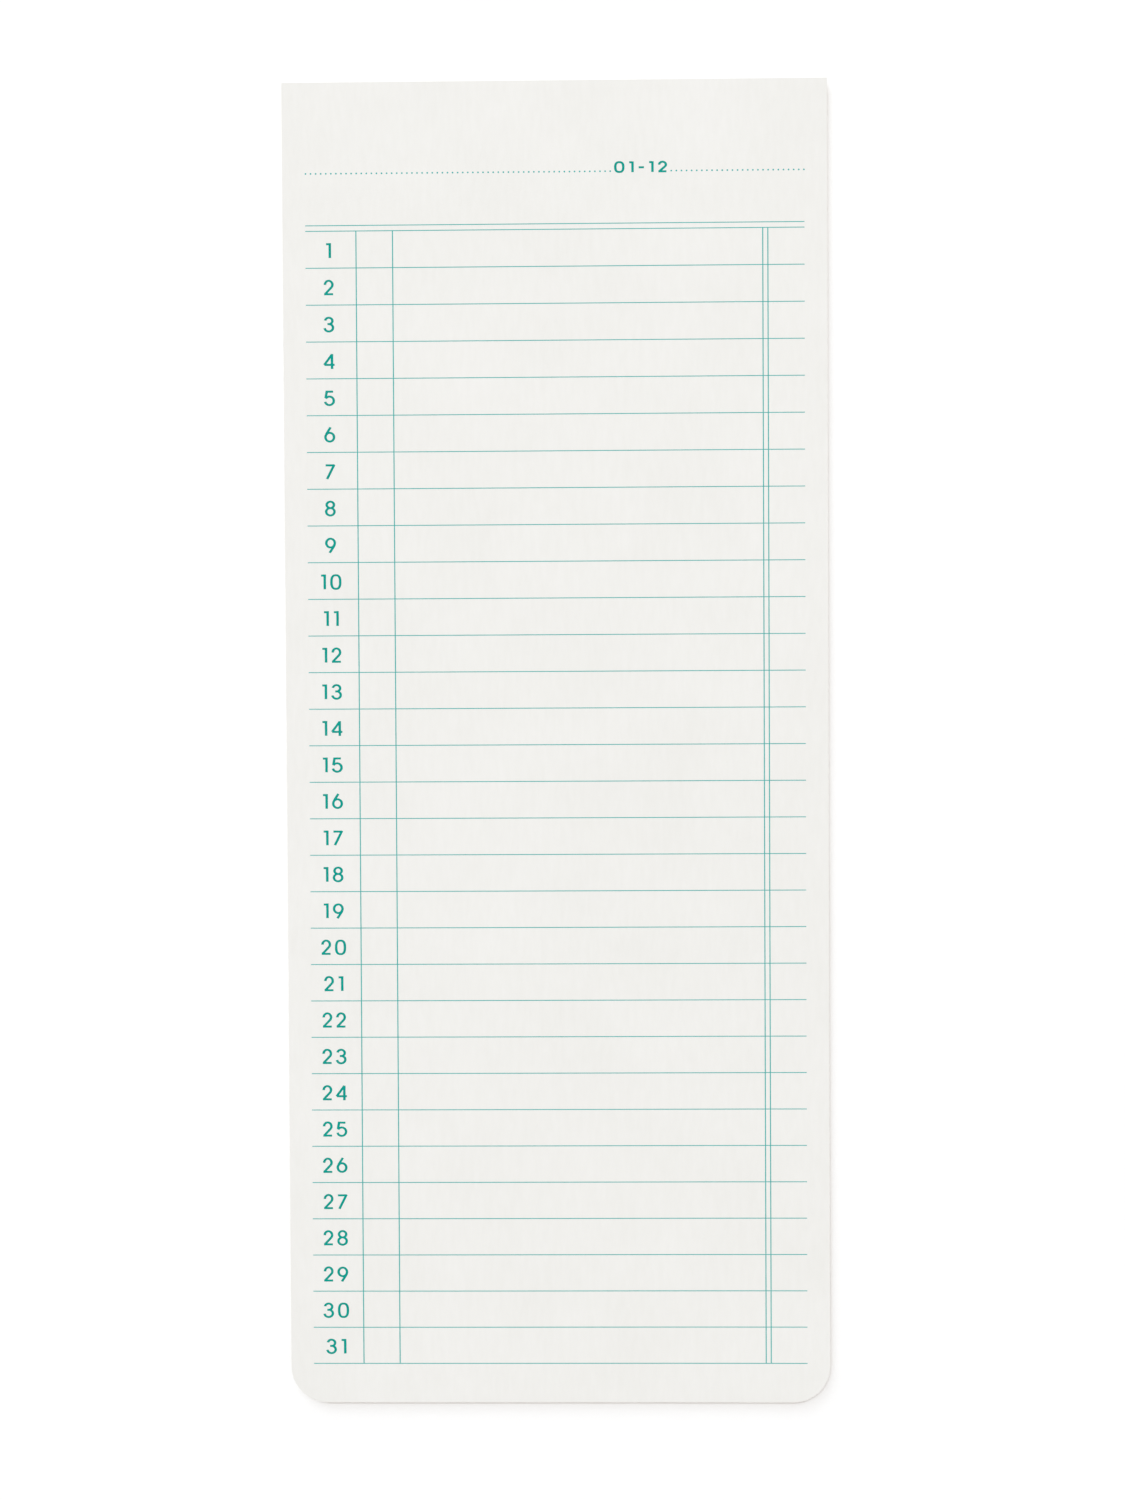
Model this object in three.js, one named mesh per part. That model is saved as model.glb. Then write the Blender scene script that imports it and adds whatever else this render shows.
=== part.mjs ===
// A sticker memo pad: printed paper leaves held to each other, and to a backing card, by a band of
// removable adhesive along their heads.
//
// Millimetres. The pad lies flat with its back on the ground: +Z up, +Y towards the glued head and
// +X to the right of the print. The origin is at the middle of the backing card's underside.

import * as THREE from "three";

// The outline that the card and all the leaves were trimmed to in one stack.
const SHEET_WIDTH = 74;
const SHEET_LENGTH = 180.5;
const FOOT_CORNER_RADIUS = 5;
const CORNER_STEPS = 10;

// The layers, from the ground up.
const CARD_THICKNESS = 0.4;
const LEAF_COUNT = 20;
const LEAF_THICKNESS = 0.1;
const GLUE_THICKNESS = 0.02;

// The adhesive runs from side to side and from the head edge down to the peel line.
const GLUE_LENGTH = 22.5;

// Places that follow from the sizes above.
const HALF_WIDTH = SHEET_WIDTH / 2;
const HEAD_Y = SHEET_LENGTH / 2;
const FOOT_Y = -SHEET_LENGTH / 2;
const PEEL_Y = HEAD_Y - GLUE_LENGTH;

// Uncoated paper, its backing board, and the milky adhesive.
const paper = () => new THREE.MeshStandardMaterial({ color: 0xf3f2ef, roughness: 0.9, metalness: 0 });
const board = () => new THREE.MeshStandardMaterial({ color: 0xd9d6ce, roughness: 0.95, metalness: 0 });
const adhesive = () => new THREE.MeshStandardMaterial({ color: 0xe9e6da, roughness: 0.4, metalness: 0 });

// A straight strip across the whole width, from one y to another.
function stripOutline(lowY, highY) {
  const outline = new THREE.Shape();
  outline.moveTo(-HALF_WIDTH, lowY);
  outline.lineTo(HALF_WIDTH, lowY);
  outline.lineTo(HALF_WIDTH, highY);
  outline.lineTo(-HALF_WIDTH, highY);
  outline.closePath();
  return outline;
}

// A sheet from the foot edge, whose two corners are round, up to a square end at topY.
function sheetOutline(topY) {
  const radius = FOOT_CORNER_RADIUS;
  const outline = new THREE.Shape();
  outline.moveTo(-HALF_WIDTH, topY);
  outline.lineTo(-HALF_WIDTH, FOOT_Y + radius);
  outline.absarc(-HALF_WIDTH + radius, FOOT_Y + radius, radius, Math.PI, 1.5 * Math.PI);
  outline.lineTo(HALF_WIDTH - radius, FOOT_Y);
  outline.absarc(HALF_WIDTH - radius, FOOT_Y + radius, radius, -0.5 * Math.PI, 0);
  outline.lineTo(HALF_WIDTH, topY);
  outline.closePath();
  return outline;
}

// A flat layer with that outline, lying on the z at which its mesh is placed.
function layer(name, outline, thickness, material) {
  const geometry = new THREE.ExtrudeGeometry(outline, {
    depth: thickness,
    bevelEnabled: false,
    curveSegments: CORNER_STEPS,
  });
  const mesh = new THREE.Mesh(geometry, material);
  mesh.name = name;
  return mesh;
}

const twoDigits = (number) => String(number).padStart(2, "0");

function backingCard() {
  return layer("backing_card", sheetOutline(HEAD_Y), CARD_THICKNESS, board());
}

// The band on the back of one leaf, which holds it to what lies below.
function glueBand(number) {
  const outline = stripOutline(PEEL_Y, HEAD_Y);
  return layer(`glue_band_${twoDigits(number)}`, outline, GLUE_THICKNESS, adhesive());
}

function plainLeaf(number) {
  return layer(`leaf_${twoDigits(number)}`, sheetOutline(HEAD_Y), LEAF_THICKNESS, paper());
}

// The top leaf is one sheet whose loose part turns up at the peel line, so it is two solids there.
function topLeafHead() {
  return layer("top_leaf_head", stripOutline(PEEL_Y, HEAD_Y), LEAF_THICKNESS, paper());
}

function topLeafFlap() {
  return layer("top_leaf_flap", sheetOutline(PEEL_Y), LEAF_THICKNESS, paper());
}

// One leaf on its adhesive, in a group whose ground is the sheet below. Leaves count upwards.
function gluedLeaf(number) {
  const sheets = number === LEAF_COUNT ? [topLeafHead(), topLeafFlap()] : [plainLeaf(number)];
  for (const sheet of sheets) {
    sheet.position.z = GLUE_THICKNESS;
  }
  const group = new THREE.Group();
  group.add(glueBand(number), ...sheets);
  return group;
}

const pad = new THREE.Group();
pad.add(backingCard());
for (let number = 1; number <= LEAF_COUNT; number += 1) {
  const leaf = gluedLeaf(number);
  leaf.position.z = CARD_THICKNESS + (number - 1) * (GLUE_THICKNESS + LEAF_THICKNESS);
  pad.add(leaf);
}

export default pad;
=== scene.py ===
import math
import random
from collections import namedtuple

import bpy
from mathutils import Matrix, Vector, geometry


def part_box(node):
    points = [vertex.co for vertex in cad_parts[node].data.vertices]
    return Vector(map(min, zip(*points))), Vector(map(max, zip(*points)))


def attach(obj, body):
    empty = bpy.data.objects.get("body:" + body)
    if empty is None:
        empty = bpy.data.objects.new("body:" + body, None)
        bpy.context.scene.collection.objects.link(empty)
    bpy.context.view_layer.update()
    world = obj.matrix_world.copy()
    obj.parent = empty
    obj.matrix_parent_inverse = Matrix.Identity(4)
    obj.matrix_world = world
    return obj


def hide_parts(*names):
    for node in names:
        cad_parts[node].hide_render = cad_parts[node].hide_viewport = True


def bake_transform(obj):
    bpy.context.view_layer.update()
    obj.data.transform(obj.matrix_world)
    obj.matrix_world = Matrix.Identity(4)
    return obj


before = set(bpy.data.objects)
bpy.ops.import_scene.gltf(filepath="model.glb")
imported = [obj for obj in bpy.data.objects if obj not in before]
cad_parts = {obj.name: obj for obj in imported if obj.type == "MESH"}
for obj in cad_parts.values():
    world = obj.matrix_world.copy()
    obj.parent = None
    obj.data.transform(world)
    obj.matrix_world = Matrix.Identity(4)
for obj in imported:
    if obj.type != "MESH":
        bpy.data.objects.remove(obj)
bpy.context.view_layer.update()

# A sticker memo pad, dressed round its CAD frame: printed leaves, their ink, the adhesive between
# them and the backing card. Lengths are in millimetres until a mesh is made. The pad lies on its
# back, its head towards +Y.

MM = 0.001

# The stack, as the CAD has it.
SHEET_LOW, SHEET_HIGH = (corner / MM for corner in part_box("backing_card"))
FLAP_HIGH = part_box("top_leaf_flap")[1] / MM
HALF_WIDTH = SHEET_HIGH.x
HEAD_Y, FOOT_Y = SHEET_HIGH.y, SHEET_LOW.y
PEEL_Y, TOP_Z = FLAP_HIGH.y, FLAP_HIGH.z
LEAF_UNDER, LEAF_OVER = (corner.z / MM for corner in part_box("leaf_01"))
FOOT_CORNER_RADIUS = 5.0
LEAF_COUNT = 20

# The air between a leaf and what touches it, above and below.
CLEARANCE = 0.002
SHEET_THICKNESS = LEAF_OVER - LEAF_UNDER - 2 * CLEARANCE

# How the loose part of the top leaf stands away from flat: the lift of its foot, what the foot's
# corners add as a share of that, and its waves, which come up over a length below the peel line.
# A lower leaf does the same by its place in the stack.
FOOT_LIFT = 0.22
CORNER_LIFT = 0.3
WAVE_HEIGHT = 0.06
WAVE_START = 30.0

# Each wave: its share of the height, the lengths across and along the sheet that turn it by a
# radian, and its turn at the middle of the sheet.
WAVES = ((1.0, 41.0, 17.0, 0.0), (0.7, 13.0, -37.0, 1.0))

# How far the foot of a lower leaf may lie to one side, and the seed of the draws for it.
SIDE_STEP = 0.05
SIDE_STEP_SEED = 20

# The mesh of a leaf: its rows run through the middle of the print's rows, and are closer round the
# foot's corners and where the top leaf bends.
COLUMNS = 12
ROW_STEP = 5.0
CORNER_ROWS = 10
BEND_LENGTH = 1.6
BEND_ROWS = 24
SHARP_ANGLE = math.radians(50)

# The print: rows numbered 1 to 31, with two narrow columns, a wide one and a narrow last one.
DAY_COUNT = 31
ROW_PITCH = 5.0
TOP_RULE_Y = 70.16
DOUBLE_RULE_Y = 70.91
RULE_FROM_X, RULE_TO_X = -33.9, 33.9
RULE_WIDTH = 0.11
UPRIGHT_XS = (-27.0, -22.02, 28.25, 28.94)
UPRIGHT_WIDTH = 0.142

# The dotted line of the head, with a gap for the heading.
DOT_Y = 77.93
DOT_COUNT = 99
DOT_PITCH = 0.6902
DOT_WIDTH = 0.236
DOT_FROM_X = -33.8
HEADING = "01-12"
HEADING_FROM_X, HEADING_TO_X = 8.0, 15.5
HEADING_BASE_Y = 77.75

# The middle of a day's number across the sheet, and how far it lies below the middle of its row.
NUMBER_X = -30.75
NUMBER_DROP = 0.12

# How a number is drawn: the scale of its numerals across and up, the width of their upright
# strokes, the gap between them before it is scaled, and a level stroke's width as a share of an
# upright one's.
NumberStyle = namedtuple("NumberStyle", "scale stroke gap")
HEADING_STYLE = NumberStyle(scale=(0.9, 0.74), stroke=0.33, gap=0.66)
DAY_STYLE = NumberStyle(scale=(1.0, 1.04), stroke=0.34, gap=0.57)
LEVEL_SHARE = 0.8

# The numerals, as the centrelines of their strokes from the lower left corner of a box of this
# height. A line goes from point to point, an arc has a centre, radii, and first and last angle, and
# a ring has a centre, radii and a power.
GLYPH_HEIGHT = 2.0
GLYPH_WIDTHS = {
    "0": 1.5, "1": 0.78, "2": 1.31, "3": 1.42, "4": 1.46,
    "5": 1.42, "6": 1.46, "7": 1.34, "8": 1.45, "9": 1.46, "-": 0.9,
}
GLYPHS = {
    "0": [("ring", (0.735, 0.975), (0.6, 0.89), 2.6)],
    "1": [("line", (0.07, 1.83), (0.57, 1.83)),
          ("line", (0.57, 1.97), (0.57, 0.03))],
    "2": [("arc", (0.645, 1.36), (0.505, 0.515), 182, -38),
          ("line", (1.045, 1.045), (0.135, 0.125)),
          ("line", (0.025, 0.125), (1.24, 0.125))],
    "3": [("arc", (0.675, 1.45), (0.495, 0.42), 172, -90),
          ("arc", (0.675, 0.565), (0.57, 0.485), 90, -174),
          ("line", (0.49, 1.04), (0.74, 1.04))],
    "4": [("line", (1.12, 1.91), (0.045, 0.53)),
          ("line", (0.055, 0.53), (1.45, 0.53)),
          ("line", (1.095, 1.94), (1.095, 0.0))],
    "5": [("line", (0.265, 1.84), (1.195, 1.84)),
          ("line", (0.345, 1.96), (0.165, 1.0)),
          ("arc", (0.68, 0.645), (0.595, 0.555), 148, -166)],
    "6": [("ring", (0.71, 0.7), (0.585, 0.57), 2),
          ("line", (0.23, 1.09), (0.83, 1.985))],
    "7": [("line", (0.06, 1.825), (1.275, 1.825)),
          ("line", (1.24, 1.92), (0.255, 0.035))],
    "8": [("ring", (0.715, 1.465), (0.495, 0.42), 2),
          ("ring", (0.71, 0.565), (0.57, 0.485), 2)],
    "9": [("ring", (0.71, 1.27), (0.58, 0.57), 2),
          ("line", (1.245, 0.96), (0.59, 0.0))],
    "-": [("line", (0.05, 0.9), (0.85, 0.9))],
}

# How finely the print is cut: the corners of a dot and the step along a curve, on the top leaf and
# on those below it. An arc has a few pieces at least.
TOP_CUT = (10, 0.12)
LOWER_CUT = (4, 0.3)
FEWEST_ARC_PIECES = 4

# A stroke is closed where its ends are this close, and where it turns, the cosine that its mitre is
# divided by is never less than the limit.
SAME_POINT = 1e-6
MITRE_LIMIT = 0.5

# How the print's polygons are joined: only triangles inside them, and points within this are one.
INSIDE_TRIANGLES = 1
JOIN_WITHIN = 1e-4

# The ink lies on the paper as a film this far above it, from its underside to its face.
INK_UNDER, INK_FACE = 0.001, 0.012

# The camera of the photograph, and the turn of its picture. It sees between two distances, which
# are in metres.
CAMERA_PLACE = Vector((7.497, 8.805, 343.955))
CAMERA_TARGET = Vector((0.737, -0.574, 2.8))
CAMERA_TURN = math.radians(-0.2998)
CAMERA_LENS = 60.0
CAMERA_SENSOR = 36.0
CAMERA_CLIP = (0.01, 20.0)

# The light: a broad soft lamp overhead, a little towards the head and the left, a small one that
# draws the thin shadow along the foot, and pale air. A lamp has its place and size in metres and
# its power in watts.
LAMPS = {
    "overhead_softbox": (Vector((-0.52, 1.36, 4.0)), (2.3, 4.5), 79.0),
    "small_lamp": (Vector((-0.2, 1.267, 3.9)), (0.9, 0.1), 45.0),
}
AIR_STRENGTH = 0.4

# The floor: how much light it sends back in all, and of each colour as the camera sees it. Its glow
# makes up the rest of white, which leaves the shadow a little warm, and grows to white far away.
# Its size and the two distances are in metres.
FLOOR_PALE = (0.8, 0.8, 0.8, 1)
FLOOR_SEEN = (0.86, 0.94, 1.0, 1)
FLOOR_GLOW = (0.163, 0.083, 0.024, 1)
WHITE = (1, 1, 1, 1)
FLOOR_GLOW_SPAN = (0.1, 0.9)
FLOOR_SIZE = 12.0
FLOOR_Z = -0.05


def linear(red, green, blue):
    """A colour given as 0 to 255 on screen, as shaders take it."""
    def one(level):
        share = level / 255
        return share / 12.92 if share <= 0.04045 else ((share + 0.055) / 1.055) ** 2.4
    return (one(red), one(green), one(blue), 1.0)


# A pale and a deep shade of each material, and the specks of the board.
PAPER_SHADES = linear(245, 244, 241), linear(240, 239, 235)
BOLD_INK_SHADES = linear(8, 160, 147), linear(2, 149, 136)
FINE_INK_SHADES = linear(82, 183, 178), linear(66, 172, 167)
BOARD_SHADES = linear(205, 198, 184), linear(168, 159, 143)
BOARD_DARK_SPECK, BOARD_PALE_SPECK = linear(120, 110, 96), linear(232, 228, 219)
GLUE_SHADES = linear(240, 236, 224), linear(222, 215, 196)

# What most of a noise lies between, what most of the sum of two does, and how much of a speck's
# size has its full colour.
NOISE = (0.3, 0.7)
TWO_NOISES = (0.7, 1.3)
SPECK_CORE = 0.4


# Materials

class Shader:
    """A material's nodes, with a short way to add and join them."""

    def __init__(self, name, specular):
        self.material = bpy.data.materials.new(name)
        self.material.use_nodes = True
        self.tree = self.material.node_tree
        self.surface = self.tree.nodes["Principled BSDF"]
        self.feed(self.surface.inputs["Specular IOR Level"], specular)
        self.place = self.add("ShaderNodeTexCoord").outputs["Object"]

    def add(self, kind, **settings):
        node = self.tree.nodes.new(kind)
        for key, value in settings.items():
            setattr(node, key, value)
        return node

    def feed(self, socket, value):
        """Joins another node's output to a socket, or sets the socket to a plain value."""
        if hasattr(value, "links"):
            self.tree.links.new(value, socket)
        else:
            socket.default_value = value

    def stretched(self, scale):
        """The place, scaled along each axis: a noise on it is longer where the scale is below 1."""
        node = self.add("ShaderNodeMapping", vector_type="POINT")
        self.feed(node.inputs["Vector"], self.place)
        self.feed(node.inputs["Scale"], scale)
        return node.outputs["Vector"]

    def noise(self, per_metre, detail, roughness, vector=None):
        """A cloudy value around a half, with this many grains to a metre."""
        node = self.add("ShaderNodeTexNoise")
        self.feed(node.inputs["Vector"], vector or self.place)
        self.feed(node.inputs["Scale"], per_metre)
        self.feed(node.inputs["Detail"], detail)
        self.feed(node.inputs["Roughness"], roughness)
        return node.outputs["Fac"]

    def specks(self, per_metre, size):
        """1 in small spots scattered in cells, 0 elsewhere."""
        node = self.add("ShaderNodeTexVoronoi", feature="F1")
        self.feed(node.inputs["Vector"], self.place)
        self.feed(node.inputs["Scale"], per_metre)
        return self.spread(node.outputs["Distance"], (size, size * SPECK_CORE))

    def spread(self, value, source, target=(0.0, 1.0)):
        """A value brought from one range to another, and held there."""
        node = self.add("ShaderNodeMapRange")
        self.feed(node.inputs["Value"], value)
        self.feed(node.inputs["From Min"], source[0])
        self.feed(node.inputs["From Max"], source[1])
        self.feed(node.inputs["To Min"], target[0])
        self.feed(node.inputs["To Max"], target[1])
        return node.outputs["Result"]

    def sum(self, first, second):
        node = self.add("ShaderNodeMath", operation="ADD")
        self.feed(node.inputs[0], first)
        self.feed(node.inputs[1], second)
        return node.outputs[0]

    def mixed(self, share, first, second):
        node = self.add("ShaderNodeMix", data_type="RGBA")
        self.feed(node.inputs["Factor"], share)
        self.feed(node.inputs["A"], first)
        self.feed(node.inputs["B"], second)
        return node.outputs["Result"]

    def colour(self, value):
        self.feed(self.surface.inputs["Base Color"], value)

    def rough(self, value):
        self.feed(self.surface.inputs["Roughness"], value)

    def bump(self, height, strength, depth):
        """A bumpy surface, where a height of 1 stands this many millimetres above 0."""
        node = self.add("ShaderNodeBump")
        self.feed(node.inputs["Height"], height)
        self.feed(node.inputs["Strength"], strength)
        self.feed(node.inputs["Distance"], depth * MM)
        self.feed(self.surface.inputs["Normal"], node.outputs["Normal"])


def paper_material():
    """Uncoated paper: soft clouds, short fibres that run along the sheet, and a fine tooth."""
    look = Shader("printed_paper", specular=0.25)
    clouds = look.noise(per_metre=90.0, detail=3.0, roughness=0.55)
    along = look.stretched((1.0, 0.22, 1.0))
    fibres = look.noise(per_metre=1500.0, detail=2.0, roughness=0.6, vector=along)
    tooth = look.noise(per_metre=4200.0, detail=2.0, roughness=0.6)
    cloud_shade = look.spread(clouds, NOISE, (0.15, 0.6))
    fibre_shade = look.spread(fibres, NOISE, (0.0, 0.4))
    look.colour(look.mixed(look.sum(cloud_shade, fibre_shade), *PAPER_SHADES))
    look.rough(look.spread(fibres, NOISE, (0.82, 0.92)))
    look.bump(look.sum(tooth, fibres), strength=0.16, depth=0.02)
    return look.material


def ink_material(name, shades):
    """Printing ink that has sunk into the paper, a little uneven in its density."""
    look = Shader(name, specular=0.05)
    density = look.noise(per_metre=900.0, detail=3.0, roughness=0.6)
    look.colour(look.mixed(look.spread(density, NOISE), *shades))
    look.rough(look.spread(density, NOISE, (0.7, 0.55)))
    return look.material


def board_material():
    """Grey chipboard with dark and pale specks of pulp."""
    look = Shader("grey_board", specular=0.2)
    pulp = look.noise(per_metre=700.0, detail=4.0, roughness=0.65)
    across = look.stretched((0.3, 1.0, 1.0))
    fibres = look.noise(per_metre=2200.0, detail=2.0, roughness=0.6, vector=across)
    base = look.mixed(look.spread(look.sum(pulp, fibres), TWO_NOISES), *BOARD_SHADES)
    dark = look.mixed(look.specks(per_metre=520.0, size=0.16), base, BOARD_DARK_SPECK)
    look.colour(look.mixed(look.specks(per_metre=310.0, size=0.12), dark, BOARD_PALE_SPECK))
    look.rough(look.spread(pulp, NOISE, (0.88, 0.97)))
    look.bump(look.sum(pulp, fibres), strength=0.35, depth=0.05)
    return look.material


def adhesive_material():
    """Milky adhesive, rolled on in streaks along the band and fine beads."""
    look = Shader("milky_adhesive", specular=0.45)
    across = look.stretched((0.12, 1.0, 1.0))
    streaks = look.noise(per_metre=600.0, detail=3.0, roughness=0.6, vector=across)
    beads = look.noise(per_metre=3500.0, detail=2.0, roughness=0.5)
    look.colour(look.mixed(look.spread(streaks, NOISE), *GLUE_SHADES))
    look.rough(look.spread(look.sum(streaks, beads), TWO_NOISES, (0.28, 0.55)))
    look.bump(look.sum(streaks, beads), strength=0.3, depth=0.01)
    return look.material


# The form of a leaf

# One leaf: its number from the ground up, the height of its printed face where it lies flat, and
# how far its foot lies to one side.
Leaf = namedtuple("Leaf", "number face step_aside")


def rise(y):
    """0 on the adhesive and 1 at the foot, with a smooth start and end."""
    down = min(max((PEEL_Y - y) / (PEEL_Y - FOOT_Y), 0.0), 1.0)
    return down * down * (3 - 2 * down)


def lifted(x, y, number):
    """How far a point of a leaf stands above its place in the flat stack."""
    settled = min(max((PEEL_Y - y) / WAVE_START, 0.0), 1.0)
    waves = sum(share * math.sin(x / across + y / along + turn)
                for share, across, along, turn in WAVES)
    corners = (abs(x) / HALF_WIDTH) ** 3 * rise(y) ** 3
    lift = FOOT_LIFT * rise(y) * (1 + CORNER_LIFT * corners)
    return (lift + WAVE_HEIGHT * waves * settled ** 2) * number / LEAF_COUNT


def placed(leaf, x, y, above):
    """Where the lift and the step aside of a leaf take a point this far above its flat face."""
    return (x + leaf.step_aside * rise(y), y, leaf.face + above + lifted(x, y, leaf.number))


def half_width(y):
    """Half the width of the sheet at y, with the two round corners of the foot."""
    below = FOOT_Y + FOOT_CORNER_RADIUS - y
    if below <= 0:
        return HALF_WIDTH
    across = math.sqrt(max(FOOT_CORNER_RADIUS ** 2 - below ** 2, 0.0))
    return HALF_WIDTH - FOOT_CORNER_RADIUS + across


def column_places(half):
    """Where the columns of a leaf's mesh lie, across a sheet of this half width."""
    return [(2 * column / COLUMNS - 1) * half for column in range(COLUMNS + 1)]


def row_places(bends):
    """Where the rows of a leaf's mesh lie, from the head to the foot."""
    places = {HEAD_Y, PEEL_Y}
    y = TOP_RULE_Y - ROW_PITCH * (DAY_COUNT - 0.5)
    while y < HEAD_Y:
        places.add(y)
        y += ROW_STEP
    for step in range(CORNER_ROWS + 1):
        turn = math.pi / 2 * step / CORNER_ROWS
        places.add(FOOT_Y + FOOT_CORNER_RADIUS * (1 - math.sin(turn)))
    if bends:
        places = {y for y in places if not PEEL_Y - BEND_LENGTH <= y < PEEL_Y}
        places |= {PEEL_Y - BEND_LENGTH * step / BEND_ROWS for step in range(1, BEND_ROWS + 1)}
    return sorted(places, reverse=True)


def object_from(name, points, faces, material, smooth):
    """A mesh object made of points in millimetres."""
    mesh = bpy.data.meshes.new(name)
    mesh.from_pydata([Vector(point) * MM for point in points], [], faces)
    mesh.materials.append(material)
    mesh.polygons.foreach_set("use_smooth", [smooth] * len(faces))
    mesh.update()
    piece = bpy.data.objects.new(name, mesh)
    bpy.context.scene.collection.objects.link(piece)
    return piece


def leaf_piece(name, leaf, bends, material):
    """One leaf as a closed sheet."""
    rows = row_places(bends)
    across = COLUMNS + 1
    points = [placed(leaf, x, y, above) for above in (0.0, -SHEET_THICKNESS)
              for y in rows for x in column_places(half_width(y))]
    under = len(rows) * across

    faces_up, faces_down = [], []
    for row in range(len(rows) - 1):
        for column in range(COLUMNS):
            a = row * across + column
            b, c, d = a + across, a + across + 1, a + 1
            faces_up.append((a, b, c, d))
            faces_down.append((d + under, c + under, b + under, a + under))

    last = (len(rows) - 1) * across
    rim = [row * across for row in range(len(rows))]
    rim += [last + column for column in range(1, across)]
    rim += [row * across + COLUMNS for row in range(len(rows) - 2, -1, -1)]
    rim += range(COLUMNS - 1, 0, -1)
    walls = [(a + under, b + under, b, a) for a, b in zip(rim, rim[1:] + rim[:1])]

    piece = object_from(name, points, faces_up + faces_down + walls, material, smooth=True)
    piece.data.set_sharp_from_angle(angle=SHARP_ANGLE)
    return piece


# The print

def arc(centre, radii, start, end, step):
    """Points along part of an ellipse, between two angles in degrees."""
    turn = math.radians(end - start)
    count = max(FEWEST_ARC_PIECES, math.ceil(abs(turn) * max(radii) / step))
    angles = [math.radians(start) + turn * index / count for index in range(count + 1)]
    return [(centre[0] + radii[0] * math.cos(a), centre[1] + radii[1] * math.sin(a))
            for a in angles]


def ring(centre, radii, power, step):
    """Points round an oval, back to the first, square-shouldered where the power is above 2."""
    count = math.ceil(2 * math.pi * max(radii) / step)
    points = []
    for index in range(count + 1):
        a = 2 * math.pi * (index % count) / count
        c, s = math.cos(a), math.sin(a)
        points.append((centre[0] + radii[0] * math.copysign(abs(c) ** (2 / power), c),
                       centre[1] + radii[1] * math.copysign(abs(s) ** (2 / power), s)))
    return points


def glyph_strokes(glyph, step):
    """The centrelines of a numeral, as points."""
    makers = {"ring": ring, "arc": arc}
    return [makers[kind](*form, step) if kind in makers else form
            for kind, *form in GLYPHS[glyph]]


def cut(stroke, step):
    """The same centreline with no stretch longer than step."""
    points = stroke[:1]
    for (x0, y0), (x1, y1) in zip(stroke, stroke[1:]):
        count = max(1, math.ceil(math.dist((x0, y0), (x1, y1)) / step))
        points += [(x0 + (x1 - x0) * i / count, y0 + (y1 - y0) * i / count)
                   for i in range(1, count + 1)]
    return points


def ribbon(stroke, width):
    """Four-cornered pieces of a stroke of one width along a centreline, mitred where it turns."""
    line = [Vector(point) for point in stroke]
    ways = [(b - a).normalized() for a, b in zip(line, line[1:])]
    closed = (line[0] - line[-1]).length < SAME_POINT
    sides = []
    for index, point in enumerate(line):
        near = ways[max(index - 1, 0):index + 1]
        if closed and index in (0, len(ways)):
            near = [ways[-1], ways[0]]
        along = sum(near, Vector((0, 0))).normalized()
        square = Vector((-along.y, along.x)) * width / 2 / max(along.dot(near[0]), MITRE_LIMIT)
        sides.append((point - square, point + square))
    return [(a[0], b[0], b[1], a[1]) for a, b in zip(sides, sides[1:])]


def number_polygons(text, centre, style, curve_step, cut_step):
    """A plain number, as polygons round its centre.

    Its strokes are made in a space that is stretched upwards, and pressed back, so that level ones
    come out thinner.
    """
    across, up = style.scale
    advances = [across * (GLYPH_WIDTHS[glyph] + style.gap) for glyph in text]
    left = centre[0] - (sum(advances) - across * style.gap) / 2
    low = centre[1] - up * GLYPH_HEIGHT / 2
    polygons = []
    for glyph, advance in zip(text, advances):
        for stroke in glyph_strokes(glyph, curve_step):
            tall = [(left + across * x, (low + up * y) / LEVEL_SHARE) for x, y in stroke]
            for piece in ribbon(cut(tall, cut_step), style.stroke):
                polygons.append([(x, y * LEVEL_SHARE) for x, y in piece])
        left += advance
    return polygons


def rule_polygons(xs, y):
    """A level ruled line, cut where the leaf's mesh has its columns."""
    low, high = y - RULE_WIDTH / 2, y + RULE_WIDTH / 2
    return [[(a, low), (b, low), (b, high), (a, high)] for a, b in zip(xs, xs[1:])]


def upright_polygons(ys, x):
    """An upright ruled line, cut where the leaf's mesh has its rows."""
    left, right = x - UPRIGHT_WIDTH / 2, x + UPRIGHT_WIDTH / 2
    return [[(left, a), (left, b), (right, b), (right, a)] for a, b in zip(ys, ys[1:])]


def dot_polygon(x, y, corners):
    """A round dot, as a polygon with this many corners."""
    turns = [2 * math.pi * (index + 0.5) / corners for index in range(corners)]
    return [(x + DOT_WIDTH / 2 * math.cos(a), y + DOT_WIDTH / 2 * math.sin(a)) for a in turns]


def fine_polygons(bends, dot_corners):
    """The ruled lines and the dotted line of a leaf, flat."""
    low_y = TOP_RULE_Y - ROW_PITCH * DAY_COUNT
    inner_xs = [x for x in column_places(HALF_WIDTH) if RULE_FROM_X < x < RULE_TO_X]
    inner_ys = [y for y in row_places(bends) if low_y < y < TOP_RULE_Y]
    xs = [RULE_FROM_X] + inner_xs + [RULE_TO_X]
    ys = [TOP_RULE_Y] + inner_ys + [low_y]

    polygons = rule_polygons(xs, DOUBLE_RULE_Y)
    for day in range(DAY_COUNT + 1):
        polygons += rule_polygons(xs, TOP_RULE_Y - ROW_PITCH * day)
    for x in UPRIGHT_XS:
        polygons += upright_polygons(ys, x)
    for index in range(DOT_COUNT):
        x = DOT_FROM_X + DOT_PITCH * index
        if not HEADING_FROM_X < x < HEADING_TO_X:
            polygons.append(dot_polygon(x, DOT_Y, dot_corners))
    return polygons


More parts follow.
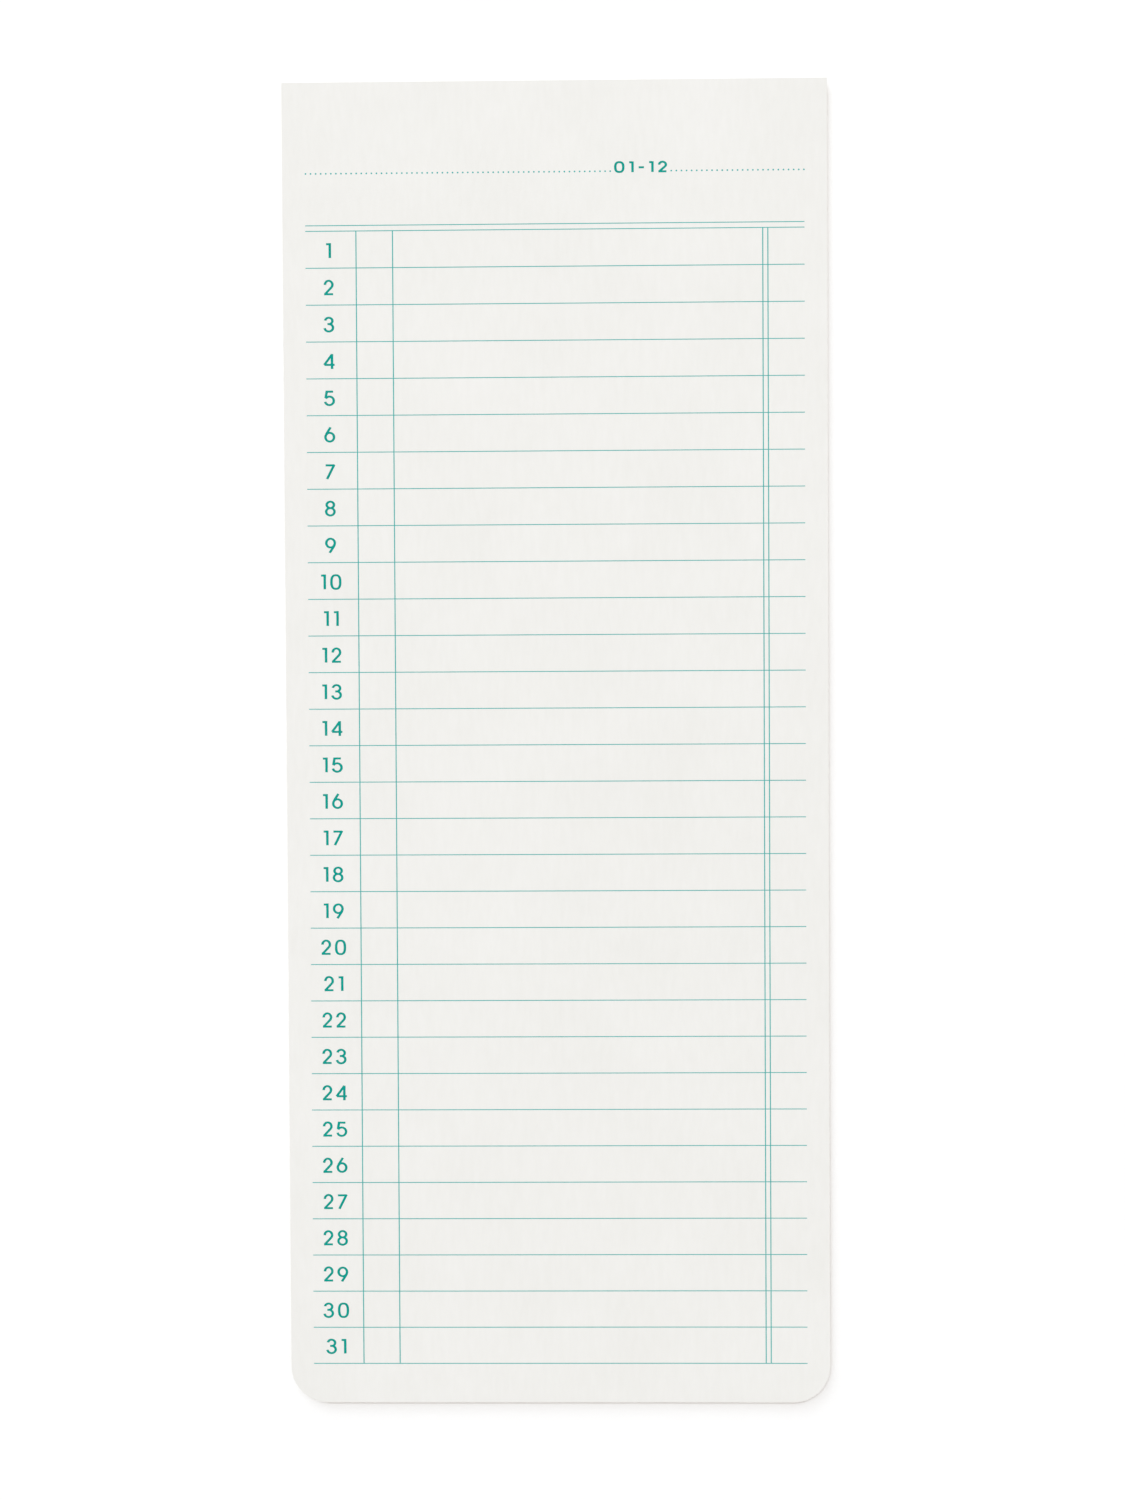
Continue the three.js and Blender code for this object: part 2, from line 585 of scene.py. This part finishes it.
def bold_polygons(bends, curve_step):
    """The heading and the numbers of the days on a leaf, flat."""
    heading_y = HEADING_BASE_Y + HEADING_STYLE.scale[1] * GLYPH_HEIGHT / 2
    middle = ((HEADING_FROM_X + HEADING_TO_X) / 2, heading_y)
    polygons = number_polygons(HEADING, middle, HEADING_STYLE, curve_step, ROW_STEP)

    for day in range(1, DAY_COUNT + 1):
        y = TOP_RULE_Y - ROW_PITCH * (day - 0.5) - NUMBER_DROP
        near_bend = PEEL_Y - BEND_LENGTH - GLYPH_HEIGHT < y < PEEL_Y + GLYPH_HEIGHT
        cut_step = BEND_LENGTH / BEND_ROWS if bends and near_bend else ROW_STEP
        polygons += number_polygons(str(day), (NUMBER_X, y), DAY_STYLE, curve_step, cut_step)
    return polygons


def flat_print(bends):
    """A leaf's print: corners, triangles that cover it once, and 0 for fine and 1 for bold ink."""
    dot_corners, curve_step = TOP_CUT if bends else LOWER_CUT
    fine = fine_polygons(bends, dot_corners)
    corners, faces = [], []
    for polygon in fine + bold_polygons(bends, curve_step):
        faces.append(list(range(len(corners), len(corners) + len(polygon))))
        corners += [Vector(point) for point in polygon]
    points, _, triangles, _, _, sources = geometry.delaunay_2d_cdt(
        corners, [], faces, INSIDE_TRIANGLES, JOIN_WITHIN)
    held = [(tuple(triangle), int(min(source) >= len(fine)))
            for triangle, source in zip(triangles, sources) if source]
    return [tuple(point) for point in points], [t for t, _ in held], [ink for _, ink in held]


def ink_piece(name, leaf, flat, inks):
    """The print of one leaf, as a thin closed film on its face."""
    corners, triangles, kinds = flat
    used = sorted({corner for triangle in triangles for corner in triangle})
    index_of = {corner: index for index, corner in enumerate(used)}
    points = [placed(leaf, *corners[corner], above) for above in (INK_FACE, INK_UNDER)
              for corner in used]
    under = len(used)

    top = [tuple(index_of[corner] for corner in triangle) for triangle in triangles]
    bottom = [tuple(corner + under for corner in reversed(triangle)) for triangle in top]
    edges = {(t[i], t[(i + 1) % 3]): kind for t, kind in zip(top, kinds) for i in range(3)}
    rim = sorted(edge for edge in edges if edge[::-1] not in edges)
    walls = [(a + under, b + under, b, a) for a, b in rim]

    piece = object_from(name, points, top + bottom + walls, inks[0], smooth=False)
    piece.data.materials.append(inks[1])
    wall_kinds = [edges[edge] for edge in rim]
    piece.data.polygons.foreach_set("material_index", kinds + kinds + wall_kinds)
    return piece


# The pad

paper, board, adhesive = paper_material(), board_material(), adhesive_material()
inks = (ink_material("fine_green_ink", FINE_INK_SHADES),
        ink_material("bold_green_ink", BOLD_INK_SHADES))

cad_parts["backing_card"].material_slots[0].material = board
for number in range(1, LEAF_COUNT + 1):
    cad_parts[f"glue_band_{number:02d}"].material_slots[0].material = adhesive

lower_print, top_print = flat_print(bends=False), flat_print(bends=True)

draw = random.Random(SIDE_STEP_SEED)
for number in range(1, LEAF_COUNT):
    node = f"leaf_{number:02d}"
    face = (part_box(node)[1] / MM).z - CLEARANCE
    leaf = Leaf(number, face, SIDE_STEP * draw.uniform(-1, 1))
    sheet = leaf_piece(f"paper_{node}", leaf, False, paper)
    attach(sheet, node)
    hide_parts(node)
    printed = ink_piece(f"print_{node}", leaf, lower_print, inks)
    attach(printed, node)

leaf = Leaf(LEAF_COUNT, TOP_Z - CLEARANCE, 0.0)
top_leaf = leaf_piece("paper_top_leaf", leaf, True, paper)
top_ink = ink_piece("print_top_leaf", leaf, top_print, inks)
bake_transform(top_leaf)
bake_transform(top_ink)
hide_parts("top_leaf_head", "top_leaf_flap")


# The floor, the light and the camera

def seen_straight(tree, otherwise):
    """1 for what the camera sees, also in gloss and through glass, and a value for the rest."""
    path = tree.nodes.new("ShaderNodeLightPath")
    share = path.outputs["Is Camera Ray"]
    for kind in ("Is Glossy Ray", "Is Transmission Ray"):
        more = tree.nodes.new("ShaderNodeMath")
        more.operation = "MAXIMUM"
        tree.links.new(share, more.inputs[0])
        tree.links.new(path.outputs[kind], more.inputs[1])
        share = more.outputs[0]
    level = tree.nodes.new("ShaderNodeMapRange")
    tree.links.new(share, level.inputs["Value"])
    level.inputs["To Min"].default_value = otherwise
    return level.outputs["Result"]


def floor():
    """A wide white floor, which shows as white but keeps the pad's shadow."""
    look = Shader("white_floor", specular=0.0)
    look.rough(1.0)
    away = look.add("ShaderNodeVectorMath", operation="LENGTH")
    look.feed(away.inputs[0], look.place)
    far = look.spread(away.outputs["Value"], FLOOR_GLOW_SPAN)
    seen = seen_straight(look.tree, 0.0)
    look.colour(look.mixed(seen, FLOOR_PALE, FLOOR_SEEN))
    look.feed(look.surface.inputs["Emission Color"], look.mixed(far, FLOOR_GLOW, WHITE))
    look.feed(look.surface.inputs["Emission Strength"], seen)

    half = FLOOR_SIZE / 2 / MM
    corners = [(-half, -half, FLOOR_Z), (half, -half, FLOOR_Z),
               (half, half, FLOOR_Z), (-half, half, FLOOR_Z)]
    ground = object_from("floor", corners, [(0, 1, 2, 3)], look.material, smooth=False)


def air():
    """White where the camera sees it, and a pale light on everything else."""
    world = bpy.data.worlds.new("pale_air")
    world.use_nodes = True
    tree = world.node_tree
    background = tree.nodes["Background"]
    background.inputs["Color"].default_value = WHITE
    tree.links.new(seen_straight(tree, AIR_STRENGTH), background.inputs["Strength"])
    bpy.context.scene.world = world


def lamp(name, place, size, power):
    """A rectangular lamp that points at the pad."""
    data = bpy.data.lights.new(name, "AREA")
    data.shape = "RECTANGLE"
    data.size, data.size_y = size
    data.energy = power
    light = bpy.data.objects.new(name, data)
    light.location = place
    light.rotation_euler = (-place).to_track_quat("-Z", "Y").to_euler()
    light.visible_camera = False
    bpy.context.scene.collection.objects.link(light)


def camera():
    """The view of the photograph, from above, turned a little about its own axis."""
    data = bpy.data.cameras.new("photo_camera")
    data.sensor_fit = "AUTO"
    data.sensor_width = CAMERA_SENSOR
    data.lens = CAMERA_LENS
    data.clip_start, data.clip_end = CAMERA_CLIP
    view = bpy.data.objects.new("photo_camera", data)
    back = (CAMERA_PLACE - CAMERA_TARGET).normalized()
    hint = Vector((-math.sin(CAMERA_TURN), math.cos(CAMERA_TURN), 0))
    right = hint.cross(back).normalized()
    axes = Matrix((right, back.cross(right), back)).transposed()
    view.matrix_world = Matrix.Translation(CAMERA_PLACE * MM) @ axes.to_4x4()
    bpy.context.scene.collection.objects.link(view)
    bpy.context.scene.camera = view


floor()
air()
for lamp_name, (lamp_place, lamp_size, lamp_power) in LAMPS.items():
    lamp(lamp_name, lamp_place, lamp_size, lamp_power)
camera()
bpy.context.scene.view_settings.view_transform = "Standard"
